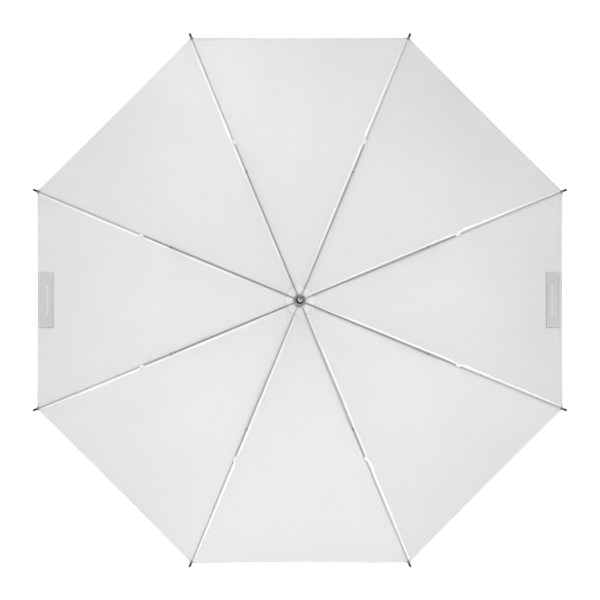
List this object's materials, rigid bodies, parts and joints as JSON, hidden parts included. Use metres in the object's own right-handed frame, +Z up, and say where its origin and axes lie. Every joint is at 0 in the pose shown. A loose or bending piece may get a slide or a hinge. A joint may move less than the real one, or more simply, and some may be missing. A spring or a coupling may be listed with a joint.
{
  "type": "umbrella reflector",
  "caption": "Folding octagonal photo umbrella: translucent white canopy on sprung ribs and stretchers, a sliding runner and a thin tubular shaft.",
  "frame": {"origin": "on the shaft's axis, at the middle of the grip stretch at its free end", "axes": "+Y along the shaft from the free end to the crown, so the canopy's hollow faces -Y; +Z up, with ribs 22.5 degrees either side of the X and Z axes"},
  "size_m": [0.9264, 0.7433, 0.9264],
  "materials": {
    "chrome": "polished",
    "wire": "drawn",
    "rib_steel": "satin",
    "rivet_steel": "satin",
    "tip_metal": "satin",
    "white_cloth": "woven",
    "white_nylon": "thin translucent weave",
    "grey_label": "woven",
    "white_thread": "thread"
  },
  "bodies": {
    "shaft": {"shaft": "chrome", "shaft_end_cap": "chrome", "top_ferrule": "chrome", "crown": "chrome", "crown_wire": "wire", "inner_rosette": "white_cloth", "outer_rosette": "white_cloth", "stop_pin": "wire"},
    "runner": {"runner": "chrome", "runner_wire": "wire"},
    "upper_latch": {"upper_latch": "wire"},
    "lower_latch": {"lower_latch": "wire"},
    "rib_1": {"rib_1": "rib_steel", "rib_rod_1": "rib_steel", "rib_tip_1": "tip_metal", "joint_rivet_1": "rivet_steel"},
    "gore_1": {"canopy_gore_1": "white_nylon"},
    "stretcher_1": {"stretcher_1": "rib_steel"},
    "rib_2": {"rib_2": "rib_steel", "rib_rod_2": "rib_steel", "rib_tip_2": "tip_metal", "joint_rivet_2": "rivet_steel"},
    "gore_2": {"canopy_gore_2": "white_nylon"},
    "stretcher_2": {"stretcher_2": "rib_steel"},
    "rib_3": {"rib_3": "rib_steel", "rib_rod_3": "rib_steel", "rib_tip_3": "tip_metal", "joint_rivet_3": "rivet_steel"},
    "gore_3": {"canopy_gore_3": "white_nylon"},
    "stretcher_3": {"stretcher_3": "rib_steel"},
    "rib_4": {"rib_4": "rib_steel", "rib_rod_4": "rib_steel", "rib_tip_4": "tip_metal", "joint_rivet_4": "rivet_steel"},
    "gore_4": {"canopy_gore_4": "white_nylon"},
    "stretcher_4": {"stretcher_4": "rib_steel"},
    "rib_5": {"rib_5": "rib_steel", "rib_rod_5": "rib_steel", "rib_tip_5": "tip_metal", "joint_rivet_5": "rivet_steel"},
    "gore_5": {"canopy_gore_5": "white_nylon"},
    "stretcher_5": {"stretcher_5": "rib_steel"},
    "rib_6": {"rib_6": "rib_steel", "rib_rod_6": "rib_steel", "rib_tip_6": "tip_metal", "joint_rivet_6": "rivet_steel"},
    "gore_6": {"canopy_gore_6": "white_nylon"},
    "stretcher_6": {"stretcher_6": "rib_steel"},
    "rib_7": {"rib_7": "rib_steel", "rib_rod_7": "rib_steel", "rib_tip_7": "tip_metal", "joint_rivet_7": "rivet_steel"},
    "gore_7": {"canopy_gore_7": "white_nylon"},
    "stretcher_7": {"stretcher_7": "rib_steel"},
    "rib_8": {"rib_8": "rib_steel", "rib_rod_8": "rib_steel", "rib_tip_8": "tip_metal", "joint_rivet_8": "rivet_steel"},
    "gore_8": {"canopy_gore_8": "white_nylon"},
    "stretcher_8": {"stretcher_8": "rib_steel"}
  },
  "joints": [
    {"name": "canopy_fold", "type": "hinge", "parent": "shaft", "child": "rib_1", "pos_m": [0.00739, 0.63, 0.00306], "axis": [0.3827, 0, -0.9239], "range_deg": [0, 69.7]},
    {"name": "gore_1_fold", "type": "hinge", "parent": "shaft", "child": "gore_1", "pos_m": [0.00523, 0.63, 0.00523], "axis": [0.7071, 0, -0.7071], "range_deg": [0, 67.26], "deforming": ["canopy_gore_1"]},
    {"name": "stretcher_1_joint", "type": "hinge", "parent": "rib_1", "child": "stretcher_1", "pos_m": [0.22813, 0.57309, 0.09449], "axis": [-0.3827, 0, 0.9239], "range_deg": [0, 139.4]},
    {"name": "rib_2_fold", "type": "hinge", "parent": "shaft", "child": "rib_2", "pos_m": [0.00306, 0.63, 0.00739], "axis": [0.9239, 0, -0.3827], "range_deg": [0, 69.7]},
    {"name": "gore_2_fold", "type": "hinge", "parent": "shaft", "child": "gore_2", "pos_m": [0, 0.63, 0.00739], "axis": [1, 0, 0], "range_deg": [0, 67.26], "deforming": ["canopy_gore_2"]},
    {"name": "stretcher_2_joint", "type": "hinge", "parent": "rib_2", "child": "stretcher_2", "pos_m": [0.09449, 0.57309, 0.22813], "axis": [-0.9239, 0, 0.3827], "range_deg": [0, 139.4]},
    {"name": "rib_3_fold", "type": "hinge", "parent": "shaft", "child": "rib_3", "pos_m": [-0.00306, 0.63, 0.00739], "axis": [0.9239, 0, 0.3827], "range_deg": [0, 69.7]},
    {"name": "gore_3_fold", "type": "hinge", "parent": "shaft", "child": "gore_3", "pos_m": [-0.00523, 0.63, 0.00523], "axis": [0.7071, 0, 0.7071], "range_deg": [0, 67.26], "deforming": ["canopy_gore_3"]},
    {"name": "stretcher_3_joint", "type": "hinge", "parent": "rib_3", "child": "stretcher_3", "pos_m": [-0.09449, 0.57309, 0.22813], "axis": [-0.9239, 0, -0.3827], "range_deg": [0, 139.4]},
    {"name": "rib_4_fold", "type": "hinge", "parent": "shaft", "child": "rib_4", "pos_m": [-0.00739, 0.63, 0.00306], "axis": [0.3827, 0, 0.9239], "range_deg": [0, 69.7]},
    {"name": "gore_4_fold", "type": "hinge", "parent": "shaft", "child": "gore_4", "pos_m": [-0.00739, 0.63, 0], "axis": [0, 0, 1], "range_deg": [0, 67.26], "deforming": ["canopy_gore_4"]},
    {"name": "stretcher_4_joint", "type": "hinge", "parent": "rib_4", "child": "stretcher_4", "pos_m": [-0.22813, 0.57309, 0.09449], "axis": [-0.3827, 0, -0.9239], "range_deg": [0, 139.4]},
    {"name": "rib_5_fold", "type": "hinge", "parent": "shaft", "child": "rib_5", "pos_m": [-0.00739, 0.63, -0.00306], "axis": [-0.3827, 0, 0.9239], "range_deg": [0, 69.7]},
    {"name": "gore_5_fold", "type": "hinge", "parent": "shaft", "child": "gore_5", "pos_m": [-0.00523, 0.63, -0.00523], "axis": [-0.7071, 0, 0.7071], "range_deg": [0, 67.26], "deforming": ["canopy_gore_5"]},
    {"name": "stretcher_5_joint", "type": "hinge", "parent": "rib_5", "child": "stretcher_5", "pos_m": [-0.22813, 0.57309, -0.09449], "axis": [0.3827, 0, -0.9239], "range_deg": [0, 139.4]},
    {"name": "rib_6_fold", "type": "hinge", "parent": "shaft", "child": "rib_6", "pos_m": [-0.00306, 0.63, -0.00739], "axis": [-0.9239, 0, 0.3827], "range_deg": [0, 69.7]},
    {"name": "gore_6_fold", "type": "hinge", "parent": "shaft", "child": "gore_6", "pos_m": [0, 0.63, -0.00739], "axis": [-1, 0, 0], "range_deg": [0, 67.26], "deforming": ["canopy_gore_6"]},
    {"name": "stretcher_6_joint", "type": "hinge", "parent": "rib_6", "child": "stretcher_6", "pos_m": [-0.09449, 0.57309, -0.22813], "axis": [0.9239, 0, -0.3827], "range_deg": [0, 139.4]},
    {"name": "rib_7_fold", "type": "hinge", "parent": "shaft", "child": "rib_7", "pos_m": [0.00306, 0.63, -0.00739], "axis": [-0.9239, 0, -0.3827], "range_deg": [0, 69.7]},
    {"name": "gore_7_fold", "type": "hinge", "parent": "shaft", "child": "gore_7", "pos_m": [0.00523, 0.63, -0.00523], "axis": [-0.7071, 0, -0.7071], "range_deg": [0, 67.26], "deforming": ["canopy_gore_7"]},
    {"name": "stretcher_7_joint", "type": "hinge", "parent": "rib_7", "child": "stretcher_7", "pos_m": [0.09449, 0.57309, -0.22813], "axis": [0.9239, 0, 0.3827], "range_deg": [0, 139.4]},
    {"name": "rib_8_fold", "type": "hinge", "parent": "shaft", "child": "rib_8", "pos_m": [0.00739, 0.63, -0.00306], "axis": [-0.3827, 0, -0.9239], "range_deg": [0, 69.7]},
    {"name": "gore_8_fold", "type": "hinge", "parent": "shaft", "child": "gore_8", "pos_m": [0.00739, 0.63, 0], "axis": [0, 0, -1], "range_deg": [0, 67.26], "deforming": ["canopy_gore_8"]},
    {"name": "stretcher_8_joint", "type": "hinge", "parent": "rib_8", "child": "stretcher_8", "pos_m": [0.22813, 0.57309, -0.09449], "axis": [0.3827, 0, 0.9239], "range_deg": [0, 139.4]},
    {"name": "runner_joint", "type": "hinge", "parent": "stretcher_1", "child": "runner", "pos_m": [0.00739, 0.51618, 0.00306], "axis": [0.3827, 0, -0.9239], "range_deg": [0, 69.7]},
    {"name": "upper_latch_press", "type": "slide", "parent": "shaft", "child": "upper_latch", "axis": [0, 0, -1], "range_m": [0, 0.002], "stiffness_N_per_m": 600},
    {"name": "lower_latch_press", "type": "slide", "parent": "shaft", "child": "lower_latch", "axis": [0, 0, -1], "range_m": [0, 0.002], "stiffness_N_per_m": 600}
  ],
  "couplings": [
    {"joint": "gore_1_fold", "follows": "canopy_fold", "ratio": 0.965},
    {"joint": "stretcher_1_joint", "follows": "canopy_fold", "ratio": 2},
    {"joint": "gore_2_fold", "follows": "canopy_fold", "ratio": 0.965},
    {"joint": "rib_2_fold", "follows": "canopy_fold", "ratio": 1},
    {"joint": "stretcher_2_joint", "follows": "canopy_fold", "ratio": 2},
    {"joint": "gore_3_fold", "follows": "canopy_fold", "ratio": 0.965},
    {"joint": "rib_3_fold", "follows": "canopy_fold", "ratio": 1},
    {"joint": "stretcher_3_joint", "follows": "canopy_fold", "ratio": 2},
    {"joint": "gore_4_fold", "follows": "canopy_fold", "ratio": 0.965},
    {"joint": "rib_4_fold", "follows": "canopy_fold", "ratio": 1},
    {"joint": "stretcher_4_joint", "follows": "canopy_fold", "ratio": 2},
    {"joint": "gore_5_fold", "follows": "canopy_fold", "ratio": 0.965},
    {"joint": "rib_5_fold", "follows": "canopy_fold", "ratio": 1},
    {"joint": "stretcher_5_joint", "follows": "canopy_fold", "ratio": 2},
    {"joint": "gore_6_fold", "follows": "canopy_fold", "ratio": 0.965},
    {"joint": "rib_6_fold", "follows": "canopy_fold", "ratio": 1},
    {"joint": "stretcher_6_joint", "follows": "canopy_fold", "ratio": 2},
    {"joint": "gore_7_fold", "follows": "canopy_fold", "ratio": 0.965},
    {"joint": "rib_7_fold", "follows": "canopy_fold", "ratio": 1},
    {"joint": "stretcher_7_joint", "follows": "canopy_fold", "ratio": 2},
    {"joint": "gore_8_fold", "follows": "canopy_fold", "ratio": 0.965},
    {"joint": "rib_8_fold", "follows": "canopy_fold", "ratio": 1},
    {"joint": "stretcher_8_joint", "follows": "canopy_fold", "ratio": 2},
    {"joint": "runner_joint", "follows": "canopy_fold", "ratio": 1}
  ]
}
